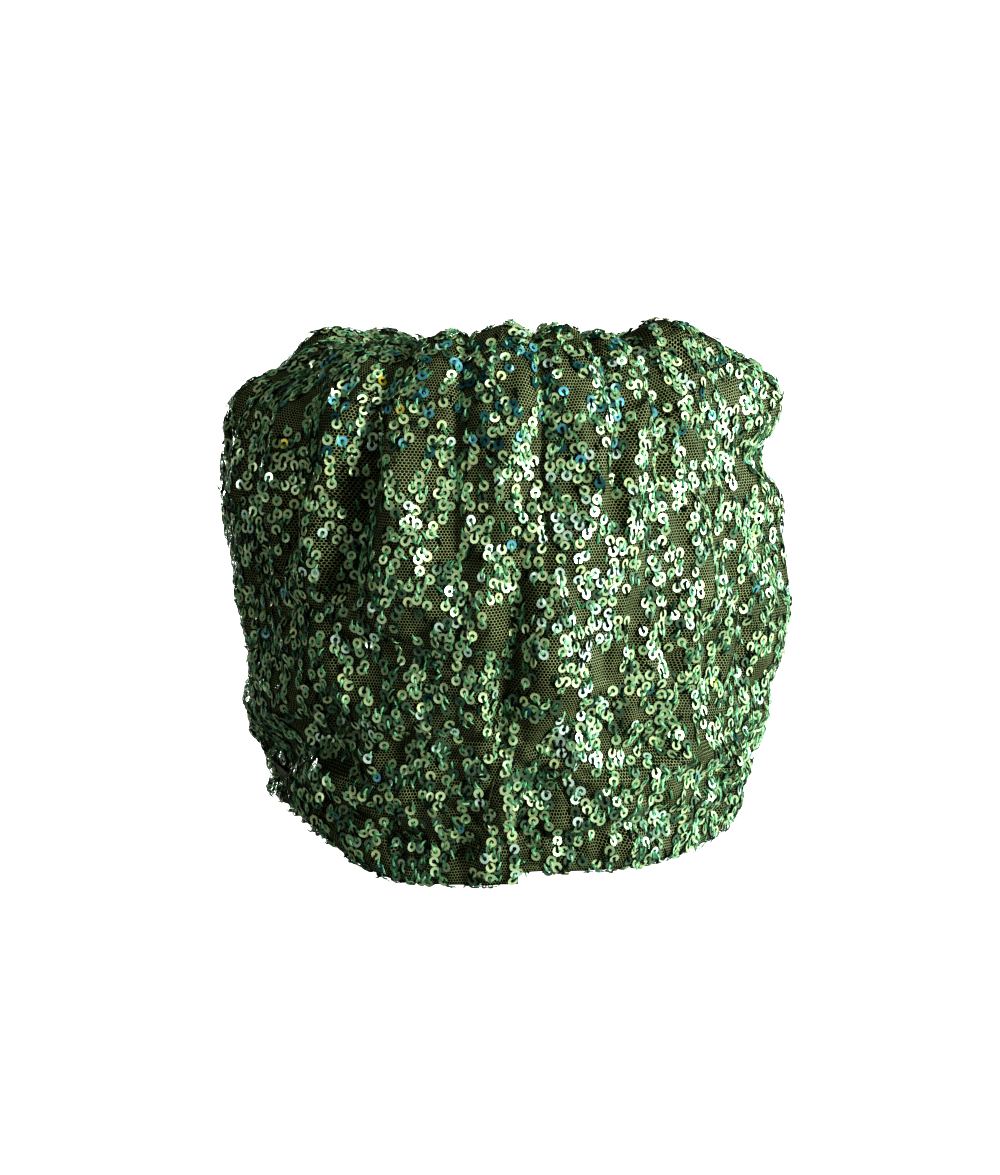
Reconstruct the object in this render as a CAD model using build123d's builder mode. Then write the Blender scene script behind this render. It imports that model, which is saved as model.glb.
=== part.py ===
from build123d import *

import os
from math import asin, cos, degrees, pi, radians, sin, sqrt

# Soft sequinned costume cap: two net half panels over a backed, wadded and lined body, with an elastic hem.
# Millimetres, +Z up. The hem rests on Z = 0, the front faces -Y and the wearer's left is +X.
# Each layer is a shell inset from one outline, turned round Z, then stretched along Y to the oval of a head.

# Driving dimensions
cap_half_width = 94.0  # widest point, from the middle
cap_height = 174.0  # top of the puffed rim
crown_height = 158.0  # middle of the crown, sunk where the gathers meet
oval_ratio = 1.18  # front-to-back size over side-to-side size
shoulder_radius = 30.0  # the puffed roll between crown and wall
wall_radius = 400.0  # the bulge of the wall
wall_top_lean = radians(6.0)  # lean of the wall where it meets the shoulder

# Cloth layers, as distances inwards from the outer surface
panel_thickness = 1.2
backing_inset = 1.3
backing_thickness = 0.7
wadding_inset = 2.1
wadding_thickness = 2.2
lining_inset = 4.4
lining_thickness = 0.8
sweatband_inset = 5.3
sweatband_thickness = 0.8
elastic_inset = 2.1
elastic_thickness = 1.1
ease = 0.1  # air between neighbouring layers

# Heights of the pieces along the wall
hem_flange = 1.0  # the underside of the hem
hem_return_inset = 3.3  # the panels turned up again inside the hem
hem_return_thickness = 1.0
hem_return_height = 12.0
backing_low = 2.0
elastic_low = 3.0
elastic_high = 23.0
wadding_low = 27.0
wadding_seam = 140.0  # side wadding below, crown wadding above
lining_low = 13.0
lining_seam = 136.0  # side lining below, crown lining above
sweatband_low = 1.5
sweatband_high = 26.0

# Middle of the front: the wearer's right panel laps over the left one
seam_gap = 0.2
lap_reach = 5.0  # past the middle
lap_root = 9.0  # before the middle
lap_height = 55.0

# Crown closing
gather_eye = 3.2  # radius of the hole that the gathers leave
gather_thread_radius = 0.45
stay_radius = 17.0
stay_thickness = 1.2
stay_drop = 5.3  # from the middle of the crown to the top of the disc

# Stitching
stitch_radius = 0.25
stitch_length = 3.0
hem_stitch_count = 72
hem_stitch_height = 4.5
sweatband_stitch_height = 23.5
crown_stitch_count = 12
crown_stitch_ring = 12.5
tack_heights = (5.0, 11.0, 17.0, 30.0, 43.0)
back_stitch_pitch = 8.0
back_stitch_count = 15

# Care label, sewn along its top edge to the lining at the middle of the back
label_width = 16.0
label_length = 23.0
label_thickness = 0.5
label_top = 55.0
label_gap = 1.4  # from the lining to the middle of the label, so that its flat sides clear the curved wall
label_stitch_count = 4
label_margin = 1.5

beyond = 400.0  # larger than the cap

shoulder_middle = (
    cap_half_width - wall_radius + (wall_radius - shoulder_radius) * cos(wall_top_lean),
    cap_height - shoulder_radius,
)
widest_height = shoulder_middle[1] - (wall_radius - shoulder_radius) * sin(wall_top_lean)
# The sunken crown is an arc about a point on the Z axis, tangent to the shoulder's arc
crown_arc_height = (
    shoulder_middle[0] ** 2 + shoulder_middle[1] ** 2 - (crown_height - shoulder_radius) ** 2
) / (2 * (cap_height - crown_height))
crown_radius = crown_arc_height - crown_height
crown_turn = asin(shoulder_middle[0] / (crown_radius + shoulder_radius))
below_hem = 20.0
wall_turn = wall_top_lean + asin((widest_height + below_hem) / wall_radius)


def wall_half_width(height, inset=0.0):
    """Half width of a layer at a height on the wall."""
    return cap_half_width - wall_radius + sqrt((wall_radius - inset) ** 2 - (height - widest_height) ** 2)


def wall_point(angle, height, inset):
    """Point on a layer: angle 0 is the middle of the front, and it grows towards +X."""
    half_width = wall_half_width(height, inset)
    return Vector(half_width * sin(angle), -oval_ratio * half_width * cos(angle), height)


def level_along_wall(angle, height, inset):
    """Plane at a wall point with its Z running level round the cap."""
    point = wall_point(angle, height, inset)
    return Plane(origin=point, x_dir=(0, 0, 1), z_dir=(-point.Y / oval_ratio, point.X * oval_ratio, 0))


def inside(inset):
    """Half profile of everything inside the outer surface moved inwards by inset, run on below the hem."""
    with BuildSketch() as region:
        with BuildLine():
            crown = JernArc((0, crown_height - inset), (1, 0), crown_radius + inset, degrees(crown_turn))
            shoulder = JernArc(
                crown @ 1, crown % 1, shoulder_radius - inset, -90 - degrees(crown_turn - wall_top_lean)
            )
            wall = JernArc(shoulder @ 1, shoulder % 1, wall_radius - inset, -degrees(wall_turn))
            Polyline(wall @ 1, (0, (wall @ 1).Y), crown @ 0)
        make_face()
    return region.sketch


def shell(inset, thickness, low, high=beyond, eye=0.0):
    """Half profile of a layer between two heights, with a hole of radius eye at its middle."""
    with BuildSketch() as profile:
        add(inside(inset))
        add(inside(inset + thickness), mode=Mode.SUBTRACT)
        with Locations((eye, low)):
            Rectangle(beyond, high - low, align=(Align.MIN, Align.MIN), mode=Mode.INTERSECT)
    return profile.sketch


def save(piece, name):
    """Labels a finished piece and writes its STEP file."""
    piece.label = name
    export_step(piece, f"parts/{name}.step")


os.makedirs("parts", exist_ok=True)
stretch = (1, oval_ratio, 1)

# Outer panels: sequinned net, turned under at the hem, open at the eye in the middle of the gathers
with BuildSketch() as panel_profile:
    add(shell(0, panel_thickness, 0, eye=gather_eye))
    add(shell(0, hem_return_inset + hem_return_thickness, 0, hem_flange))
    add(shell(hem_return_inset, hem_return_thickness, 0, hem_return_height))

with BuildPart() as left_outer_panel:
    with BuildSketch(Plane.XZ):
        add(panel_profile.sketch)
    revolve(axis=Axis.Z)
    scale(by=stretch)
    split(bisect_by=Plane.YZ.offset(seam_gap / 2), keep=Keep.TOP)
save(left_outer_panel.part, "left_outer_panel")

# The strip that folds over the middle of the front, and the thicker root that joins it to its panel
with BuildPart() as front_lap:
    with BuildSketch(Plane.XZ):
        add(shell(-panel_thickness - ease, panel_thickness, 0, lap_height))
    revolve(axis=Axis.Z)
    scale(by=stretch)
    with Locations(((lap_reach - lap_root) / 2, -beyond / 2, lap_height / 2)):
        Box(lap_reach + lap_root, beyond, lap_height, mode=Mode.INTERSECT)

with BuildPart() as lap_join:
    with BuildSketch(Plane.XZ):
        add(shell(-panel_thickness - ease, 2 * panel_thickness, 0, lap_height))
    revolve(axis=Axis.Z)
    scale(by=stretch)
    with Locations((-lap_root / 2 - seam_gap, -beyond / 2, lap_height / 2)):
        Box(lap_root, beyond, lap_height, mode=Mode.INTERSECT)

with BuildPart() as right_outer_panel:
    with BuildSketch(Plane.XZ):
        add(panel_profile.sketch)
    revolve(axis=Axis.Z)
    scale(by=stretch)
    split(bisect_by=Plane.YZ.offset(-seam_gap / 2), keep=Keep.BOTTOM)
    add(front_lap.part)
    add(lap_join.part)
save(right_outer_panel.part, "right_outer_panel")

# Dark woven cloth that shows through the holes of the net
with BuildPart() as backing_layer:
    with BuildSketch(Plane.XZ):
        add(shell(backing_inset, backing_thickness, backing_low))
    revolve(axis=Axis.Z)
    scale(by=stretch)
save(backing_layer.part, "backing_layer")

# Wadding that keeps the crown and wall puffed
with BuildPart() as wadding_side:
    with BuildSketch(Plane.XZ):
        add(shell(wadding_inset, wadding_thickness, wadding_low, wadding_seam - ease))
    revolve(axis=Axis.Z)
    scale(by=stretch)
save(wadding_side.part, "wadding_side")

with BuildPart() as wadding_crown:
    with BuildSketch(Plane.XZ):
        add(shell(wadding_inset, wadding_thickness, wadding_seam))
    revolve(axis=Axis.Z)
    scale(by=stretch)
save(wadding_crown.part, "wadding_crown")

# Lining: a side band and a crown piece
with BuildPart() as lining_side:
    with BuildSketch(Plane.XZ):
        add(shell(lining_inset, lining_thickness, lining_low, lining_seam - ease))
    revolve(axis=Axis.Z)
    scale(by=stretch)
save(lining_side.part, "lining_side")

with BuildPart() as lining_crown:
    with BuildSketch(Plane.XZ):
        add(shell(lining_inset, lining_thickness, lining_seam))
    revolve(axis=Axis.Z)
    scale(by=stretch)
save(lining_crown.part, "lining_crown")

# Elastic inside the turned hem
with BuildPart() as hem_elastic:
    with BuildSketch(Plane.XZ):
        add(shell(elastic_inset, elastic_thickness, elastic_low, elastic_high))
    revolve(axis=Axis.Z)
    scale(by=stretch)
save(hem_elastic.part, "hem_elastic")

# Sweatband against the wearer's forehead
with BuildPart() as sweatband:
    with BuildSketch(Plane.XZ):
        add(shell(sweatband_inset, sweatband_thickness, sweatband_low, sweatband_high))
    revolve(axis=Axis.Z)
    scale(by=stretch)
save(sweatband.part, "sweatband")

# Thread that draws the crown gathers together, lying in their eye
with BuildPart() as crown_gather_thread:
    with Locations((0, 0, crown_height - panel_thickness / 2)):
        Torus(gather_eye - gather_thread_radius - ease, gather_thread_radius)
save(crown_gather_thread.part, "crown_gather_thread")

# Covered disc inside the crown that the gathers are sewn down to
stay_top = crown_height - stay_drop
with BuildPart() as crown_stay_disc:
    with BuildSketch(Plane.XY.offset(stay_top - stay_thickness)):
        Circle(stay_radius)
    extrude(amount=stay_thickness)
    fillet(crown_stay_disc.edges().filter_by(GeomType.CIRCLE), stay_thickness / 3)
save(crown_stay_disc.part, "crown_stay_disc")

with BuildPart() as crown_stitches:
    with Locations(Plane.XY.offset(stay_top - stay_thickness - stitch_radius)):
        with PolarLocations(crown_stitch_ring, crown_stitch_count):
            Box(stitch_length, 2 * stitch_radius, 2 * stitch_radius)
save(crown_stitches.part, "crown_stitches")

# Running stitches round the hem and along the top of the sweatband
sweatband_face = sweatband_inset + sweatband_thickness + stitch_radius + ease
with BuildPart() as hem_stitches:
    for k in range(hem_stitch_count):
        angle = 2 * pi * k / hem_stitch_count
        with BuildSketch(level_along_wall(angle, hem_stitch_height, sweatband_face)):
            Circle(stitch_radius)
        extrude(amount=stitch_length / 2, both=True)
save(hem_stitches.part, "hem_stitches")

with BuildPart() as sweatband_stitches:
    for k in range(hem_stitch_count):
        angle = 2 * pi * (k + 0.5) / hem_stitch_count
        with BuildSketch(level_along_wall(angle, sweatband_stitch_height, sweatband_face)):
            Circle(stitch_radius)
        extrude(amount=stitch_length / 2, both=True)
save(sweatband_stitches.part, "sweatband_stitches")

# Ladder stitches that close the two panels down the middle of the back
with BuildPart() as back_seam_stitches:
    for k in range(back_stitch_count):
        height = back_stitch_pitch * (k + 1)
        with BuildSketch(level_along_wall(pi, height, -stitch_radius - ease)):
            Circle(stitch_radius)
        extrude(amount=stitch_length / 2, both=True)
save(back_seam_stitches.part, "back_seam_stitches")

# Tacks that hold the lap closed, lying on its free edge
with BuildPart() as front_tack_stitches:
    lap_face = -panel_thickness - 2 * ease - stitch_radius
    for height in tack_heights:
        tack_angle = (lap_reach - stitch_length) / wall_half_width(height)
        with BuildSketch(level_along_wall(tack_angle, height, lap_face)):
            Circle(stitch_radius)
        extrude(amount=stitch_length / 2, both=True)
save(front_tack_stitches.part, "front_tack_stitches")

# Care label: a blank tab that swings on its sewn top edge, drawn lying along the slope of the lining
label_face = lining_inset + lining_thickness + label_gap
label_hinge = wall_point(pi, label_top, label_face)
label_foot = wall_point(pi, label_top - label_length, label_face)
label_plane = Plane(
    origin=label_hinge,
    x_dir=(1, 0, 0),
    z_dir=(label_foot - label_hinge).cross(Vector(1, 0, 0)),
)
with BuildPart() as care_label:
    with BuildSketch(label_plane):
        Rectangle(label_width, label_length, align=(Align.CENTER, Align.MAX))
    extrude(amount=label_thickness / 2, both=True)
save(care_label.part, "care_label")

# Stitches across the top margin of the label
with BuildPart() as label_stitches:
    with Locations(label_plane.offset(label_thickness / 2 + stitch_radius)):
        with Locations((0, -label_margin)):
            with GridLocations(label_width / label_stitch_count, 1, label_stitch_count, 1):
                Box(stitch_length, 2 * stitch_radius, 2 * stitch_radius)
save(label_stitches.part, "label_stitches")

print("label hinge", label_hinge, "widest", widest_height, "hem half width", wall_half_width(0))
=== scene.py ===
import math

import bpy
import numpy as np
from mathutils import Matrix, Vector


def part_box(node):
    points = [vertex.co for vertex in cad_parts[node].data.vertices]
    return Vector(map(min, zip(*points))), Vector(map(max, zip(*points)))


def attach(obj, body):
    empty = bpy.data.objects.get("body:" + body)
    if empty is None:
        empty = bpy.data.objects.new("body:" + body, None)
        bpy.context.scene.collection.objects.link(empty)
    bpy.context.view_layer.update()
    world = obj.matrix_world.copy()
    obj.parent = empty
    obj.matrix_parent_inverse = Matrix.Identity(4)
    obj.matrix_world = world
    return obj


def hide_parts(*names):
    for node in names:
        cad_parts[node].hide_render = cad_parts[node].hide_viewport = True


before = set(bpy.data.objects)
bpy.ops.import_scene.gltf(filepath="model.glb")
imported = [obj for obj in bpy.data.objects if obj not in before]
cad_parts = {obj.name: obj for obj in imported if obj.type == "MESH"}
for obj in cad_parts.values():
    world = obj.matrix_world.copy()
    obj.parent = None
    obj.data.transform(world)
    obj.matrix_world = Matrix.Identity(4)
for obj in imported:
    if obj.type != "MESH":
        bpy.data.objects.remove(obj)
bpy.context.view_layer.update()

# All shaping is done in millimetres, in the row frame; meshes are written in metres.
MM = 0.001
rng = np.random.default_rng(611)

# ---------------------------------------------------------------- base outline, as in the solids
HALF_WIDTH, RIM, MIDDLE, RATIO = 94.0, 174.0, 158.0, 1.18
SHOULDER_R, WALL_R = 30.0, 400.0
LEAN = math.radians(6.0)
SHOULDER_X = HALF_WIDTH - WALL_R + (WALL_R - SHOULDER_R) * math.cos(LEAN)
SHOULDER_Z = RIM - SHOULDER_R
WIDEST_Z = SHOULDER_Z - (WALL_R - SHOULDER_R) * math.sin(LEAN)
CROWN_Z = (SHOULDER_X**2 + SHOULDER_Z**2 - (MIDDLE - SHOULDER_R) ** 2) / (2 * (RIM - MIDDLE))
CROWN_R = CROWN_Z - MIDDLE
CROWN_TURN = math.asin(SHOULDER_X / (CROWN_R + SHOULDER_R))
HEM_TURN = math.asin(WIDEST_Z / WALL_R)
WALL_LEN = WALL_R * (HEM_TURN + LEAN)
SHOULDER_LEN = SHOULDER_R * (math.pi / 2 + CROWN_TURN - LEAN)
CROWN_LEN = CROWN_R * CROWN_TURN
FULL_LEN = WALL_LEN + SHOULDER_LEN + CROWN_LEN
ROLL_R = 2.2  # half the thickness of the rolled hem
RETURN_LEN = 9.0  # how far the hem's edge runs up again inside
EYE = 3.2  # radius of the hole in the middle of the gathers
HEM_RADIUS = 80.0  # turns an angle at the hem's front into a length


def profile(s):
    """Half width, height and outward normal's angle at arc length s above the hem; s < 0 is turned under."""
    s = np.asarray(s, float)
    wall, shoulder = s < WALL_LEN, s < WALL_LEN + SHOULDER_LEN
    c = (FULL_LEN - s) / CROWN_R
    a = np.where(wall, s / WALL_R - HEM_TURN,
                 np.where(shoulder, LEAN + (s - WALL_LEN) / SHOULDER_R, math.pi / 2 + c))
    r = np.where(wall, HALF_WIDTH - WALL_R + WALL_R * np.cos(a),
                 np.where(shoulder, SHOULDER_X + SHOULDER_R * np.cos(a), CROWN_R * np.sin(c)))
    z = np.where(wall, WIDEST_Z + WALL_R * np.sin(a),
                 np.where(shoulder, SHOULDER_Z + SHOULDER_R * np.sin(a), CROWN_Z - CROWN_R * np.cos(c)))
    roll = s < ROLL_R
    a0 = ROLL_R / WALL_R - HEM_TURN
    r0 = HALF_WIDTH - WALL_R + WALL_R * math.cos(a0)
    turn = np.clip((ROLL_R - s) / ROLL_R, 0, math.pi)
    up = np.clip(ROLL_R - math.pi * ROLL_R - s, 0, None)
    r = np.where(roll, r0 - ROLL_R + ROLL_R * np.cos(turn) + up * math.sin(HEM_TURN), r)
    z = np.where(roll, ROLL_R - ROLL_R * np.sin(turn) + up, z)
    a = np.where(roll, a0 - turn, a)
    return r, z, a


# How far the soft hem lifts off the table, as (degrees from the front, mm): it rests on front and back
HEM_LIFT = [
    (-180, 0), (-130, 6), (-100, 16), (-72, 20), (-52, 15), (-38, 5.5), (-25, 0), (-10, 1), (0, 3),
    (12, 5), (35, 4.5), (55, 7), (78, 11), (100, 10), (135, 4), (180, 0),
]
LIFT_FADES = 78  # arc length at which the lift has died out


def hem_lift(theta):
    """The lift of HEM_LIFT at any angle, rounded off by repeated averaging."""
    t = np.radians(np.linspace(-180, 180, 361))
    lift = np.interp(t, *np.radians(HEM_LIFT).T[:1], [mm for _, mm in HEM_LIFT])
    for _ in range(60):
        lift = (np.roll(lift, 1) + 2 * lift + np.roll(lift, -1)) / 4
    return np.interp((theta + math.pi) % (2 * math.pi) - math.pi, t, lift)


def base(theta, s):
    """Point and outward normal of the smooth shape; theta is 0 at the front's middle and grows towards +X."""
    r, z, a = profile(s)
    z = z + hem_lift(theta) * (1 - smooth(s, -4, LIFT_FADES))
    point = np.stack([r * np.sin(theta), -RATIO * r * np.cos(theta), z], -1)
    normal = np.stack([np.cos(a) * np.sin(theta), -np.cos(a) * np.cos(theta) / RATIO, np.sin(a)], -1)
    return point, normal / np.linalg.norm(normal, axis=-1, keepdims=True)


def height_to_s(z):
    """Arc length at a height on the wall."""
    return WALL_R * (np.arcsin((np.asarray(z, float) - WIDEST_Z) / WALL_R) + HEM_TURN)


def bump(x, middle, width):
    """A smooth hump, 1 at the middle."""
    return np.exp(-(((x - middle) / width) ** 2))


def smooth(x, low, high):
    """A smooth step from 0 at low to 1 at high."""
    t = np.clip((x - low) / (high - low), 0, 1)
    return t * t * (3 - 2 * t)


def humps(x, terms):
    """Sum of humps given as (height, middle, width)."""
    total = 0.0
    for height, middle, width in terms:
        total = total + height * bump(x, middle, width)
    return total


def waves(count, turns, along, seed):
    """A smooth random field over (theta, s), about -1 to 1: waves with whole turns round the cap."""
    r = np.random.default_rng(seed)
    m = np.round(r.uniform(turns[0], turns[1], count)) * r.choice([-1, 1], count)
    q = 2 * math.pi / r.uniform(along[0], along[1], count) * r.choice([-1, 1], count)
    phase = r.uniform(0, 2 * math.pi, count)
    amp = r.uniform(0.6, 1.0, count)
    amp /= math.sqrt((amp**2).sum() / 2) * 1.6

    def field(theta, s):
        total = np.zeros(np.broadcast(theta, s).shape)
        for k in range(count):
            total += amp[k] * np.cos(m[k] * theta + q[k] * s + phase[k])
        return total

    return field


FRONT_RADIUS = 98.0  # turns an angle at the front into a length along the cloth
WALL_TOP = 140.0  # above this height, arc length is taken as height plus SHOULDER_EXTRA
SHOULDER_EXTRA = 4.5


def path_distance(theta, s, path):
    """Distance from a path of (degrees, height) points in millimetres, and how far along it, 0 to 1."""
    heights = [float(height_to_s(z)) if z < WALL_TOP else z + SHOULDER_EXTRA for _, z in path]
    pts = np.array([(math.radians(d) * FRONT_RADIUS, h) for (d, _), h in zip(path, heights)])
    u = theta * FRONT_RADIUS
    best = np.full(np.broadcast(u, s).shape, 1e9)
    along = np.zeros_like(best)
    lengths = np.linalg.norm(np.diff(pts, axis=0), axis=1)
    start = 0.0
    for (a, b), length in zip(zip(pts[:-1], pts[1:]), lengths):
        d = (b - a) / length
        t = np.clip((u - a[0]) * d[0] + (s - a[1]) * d[1], 0, length)
        dist = np.hypot(u - a[0] - t * d[0], s - a[1] - t * d[1])
        near = dist < best
        best = np.where(near, dist, best)
        along = np.where(near, (start + t) / lengths.sum(), along)
        start += length
    return best, along


def crease(theta, s, path, depth, width, fade):
    """A valley along a path with a soft swelling on each side of it."""
    lip = 0.35
    dist, along = path_distance(theta, s, path)
    strength = smooth(along, -0.01, fade[0]) * (1 - smooth(along, 1 - fade[1], 1.01))
    return strength * depth * (lip * bump(dist, 2.1 * width, width) - np.exp(-((dist / width) ** 1.6)))


# Long creases, each as a path of (degrees, height), a depth, a width and how fast its two ends fade
FRONT_CREASES = (
    ([(-26, 156), (-29, 130), (-33, 100), (-41, 84)], 7.0, 5.5, (0.25, 0.25)),
    ([(27, 158), (25, 140), (22, 122), (21, 104)], 3.6, 3.4, (0.1, 0.5)),
    ([(35, 158), (37, 142), (33, 124)], 3.2, 3.2, (0.1, 0.5)),
    ([(6, 118), (3.5, 100), (2.5, 80), (0.5, 58), (-1, 40)], 7.2, 4.8, (0.35, 0.05)),
    ([(29, 86), (39, 72), (42, 58), (38, 44), (27, 39)], 6.4, 4.4, (0.3, 0.3)),
)
OTHER_CREASES = (
    ([(9, 42), (16, 56), (24, 66)], 3.0, 3.6, (0.05, 0.6)),
    ([(100, 126), (80, 128), (62, 138), (52, 152)], 3.2, 5.0, (0.25, 0.25)),
    ([(-62, 140), (-58, 112), (-62, 84)], 2.6, 4.6, (0.25, 0.25)),
    ([(-12, 74), (-18, 52), (-28, 34)], 2.6, 4.2, (0.25, 0.25)),
    ([(-50, 60), (-44, 42), (-30, 28)], 2.8, 4.4, (0.25, 0.25)),
    ([(60, 100), (64, 76), (60, 50)], 2.4, 4.2, (0.25, 0.25)),
)

# Valleys between the crown's gathers, in degrees, unevenly spaced as cloth falls
GATHER_VALLEYS = np.radians(
    [-171, -157, -147, -126, -108, -88, -69, -46, -26, -9, 9, 24, 34, 54, 70, 92, 112, 127, 144, 151, 164]
)
gather_depth = waves(9, (2, 9), (1e6, 2e6), 3)
gather_reach = waves(9, (3, 11), (1e6, 2e6), 4)
lumps = waves(26, (2, 9), (50, 120), 5)
drape = waves(34, (9, 26), (70, 240), 6)
fine_drape = waves(40, (26, 58), (28, 90), 7)
pucker = waves(22, (44, 78), (1e6, 2e6), 8)
pucker_size = waves(10, (4, 14), (1e6, 2e6), 9)


def gathers(theta, s):
    """Ridges that radiate from the crown's middle, roll over the shoulder and die out down the wall."""
    wander = 0.035 * drape(theta * 0 + 1.0, s * 1.3) * smooth(s, 60, FULL_LEN)
    t = (theta + wander + math.pi) % (2 * math.pi) - math.pi
    edges = np.concatenate([GATHER_VALLEYS, [GATHER_VALLEYS[0] + 2 * math.pi]])
    t = np.where(t < edges[0], t + 2 * math.pi, t)
    k = np.clip(np.searchsorted(edges, t, side="right") - 1, 0, len(edges) - 2)
    width = edges[k + 1] - edges[k]
    p = (t - edges[k]) / width
    ridge = np.abs(np.sin(math.pi * p)) ** 0.62
    r, _, _ = profile(s)
    centre = np.where(s > 170, smooth(r, 4, 40) * 0.85 + 0.15 * smooth(r, 3, 12), 1.0)
    low = 84 + 26 * gather_reach(theta, 0)
    wall = smooth(s, low, low + 66)
    size = (4.8 + 1.7 * gather_depth(theta, 0)) * np.clip(width / 0.3, 0.45, 1.15)
    return centre * wall * size * (ridge - 0.70)


def lap_strength(s):
    """How much the lap stands out: full at the hem and gone where the two panels meet edge to edge."""
    return (1 - smooth(s, 4, 58)) ** 1.2


def calm_back(theta, s):
    """Folds die down low on the middle of the back, where the label and the seam are."""
    return 1 - 0.8 * bump(np.abs(theta), math.pi, 0.2) * bump(s, 40, 30)


def designed(theta, s, side):
    """How far the cloth stands off the smooth shape, in millimetres, with every fold designed."""
    _, z, _ = profile(s)
    on_wall = smooth(s, -1, 10)
    d = gathers(theta, s)
    d += 1.5 * lumps(theta, s) * on_wall
    d += 1.25 * drape(theta, s) * on_wall * (1 - 0.5 * smooth(z, 120, 160))
    d += 0.42 * fine_drape(theta, s) * on_wall
    # the two sides, which are fuller or flatter from height to height
    quarter = 1.571
    right, left = bump(theta, -quarter, 0.55), bump(theta, quarter, 0.55)
    d += right * humps(s, ((-4.5, 2, 14), (-3.4, 34, 22), (-7.0, 66, 18), (-0.6, 108, 30), (1.6, 140, 18),
                           (0.6, 157, 8), (-10.5, 170, 19)))
    d += left * humps(s, ((0.8, 78, 22), (-8.2, 137, 8), (2.4, 154, 9), (-5.5, 178, 17), (-4.4, 118, 20)))
    d -= 1.6 * on_wall
    # puffed lobes of the rim: high in front, one at the wearer's left, lower behind
    d += 6.8 * bump(theta, 0.08, 0.62) * bump(s, 180, 20) + 4.6 * bump(theta, 0.86, 0.2) * bump(s, 178, 15)
    d += 2.4 * bump(theta, 1.5, 0.25) * bump(s, 168, 11) - 6.6 * bump(theta, -1.02, 0.14) * bump(s, 174, 16)
    d += 6.8 * bump(theta, 1.02, 0.17) * bump(s, 174, 14) - 6.0 * bump(theta, 0.66, 0.09) * bump(s, 180, 16)
    d += 1.4 * bump(theta, -1.3, 0.14) * bump(s, 163, 11) - 2.8 * bump(theta, -0.5, 0.08) * bump(s, 182, 14)
    d -= 6.5 * bump(theta, -2.1, 0.18) * bump(s, 176, 18) + 3.6 * bump(theta, -2.62, 0.1) * bump(s, 182, 16)
    d += 3.6 * bump(theta, 2.05, 0.15) * bump(s, 174, 14) - 5.0 * bump(theta, 2.44, 0.1) * bump(s, 180, 18)
    low_back = 6.5 * bump(np.abs(theta), 3.14, 0.9) * bump(s, 182, 26)
    d += 3.4 * bump(theta, 0.80, 0.13) * bump(s, 182, 16) - low_back
    # rolled hem with its stitched line above it
    roll = 0.75 + 0.35 * pucker_size(theta, 0) + 0.5 * bump(theta, 0.5, 0.5)
    line = 13.5 + 1.5 * gather_reach(theta, 0)
    hemline = 1.1 + 1.0 * gather_depth(theta, 0)
    rolled = 1.2 * bump(s, 5.5, 5.0) * on_wall
    d += roll * (rolled - hemline * bump(s, line, 3.2) + 0.6 * bump(s, line + 6, 5))
    puckering = 1.15 * pucker(theta, 0) * (0.7 + 0.4 * pucker_size(theta, 0))
    d += puckering * bump(s, line - 3, 11) * smooth(s, -4, 4)
    # long creases of the front and the swellings between them
    for path, depth, width, fade in FRONT_CREASES:
        d += crease(theta, s, path, depth, width, fade)
    d += 3.4 * bump(theta, 0.49, 0.16) * bump(s, 66, 14)
    d += 4.4 * bump(theta, 0.20, 0.12) * bump(s, 78, 30) - 4.2 * bump(theta, -0.20, 0.15) * bump(s, 64, 30)
    for path, depth, width, fade in OTHER_CREASES:
        d += crease(theta, s, path, depth, width, fade)
    # lap at the middle of the front: one side stands proud, the other drops into a pocket behind it
    x = theta * HEM_RADIUS
    lap = lap_strength(s)
    if side < 0:
        d = d + lap * 3.6 * bump(x, 0, 11)
    else:
        pocket = 5.6 * bump(x, 12, 7) * bump(s, 30, 14)
        d = d + lap * (-4.6 * bump(x, 0, 14) - 2.4 * bump(x, 9, 7)) - pocket
    return d * calm_back(theta, s) * smooth(s, -6, 6)


def ellipse_angles(count, start, stop):
    """Angles evenly spaced by length along the cap's oval."""
    t = np.linspace(start, stop, 4001)
    step = np.hypot(np.cos(t), RATIO * np.sin(t))
    length = np.concatenate([[0], np.cumsum((step[1:] + step[:-1]) / 2)])
    return np.interp(np.linspace(0, length[-1], count), length, t)


def round_length(theta):
    """Length along the oval from the middle of the front, at the widest height."""
    t = np.linspace(-math.pi - 0.2, math.pi + 0.2, 8001)
    step = HALF_WIDTH * np.hypot(np.cos(t), RATIO * np.sin(t))
    length = np.concatenate([[0], np.cumsum((step[1:] + step[:-1]) / 2 * np.diff(t))])
    length -= np.interp(0, t, length)
    return np.interp(theta, t, length)


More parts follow.
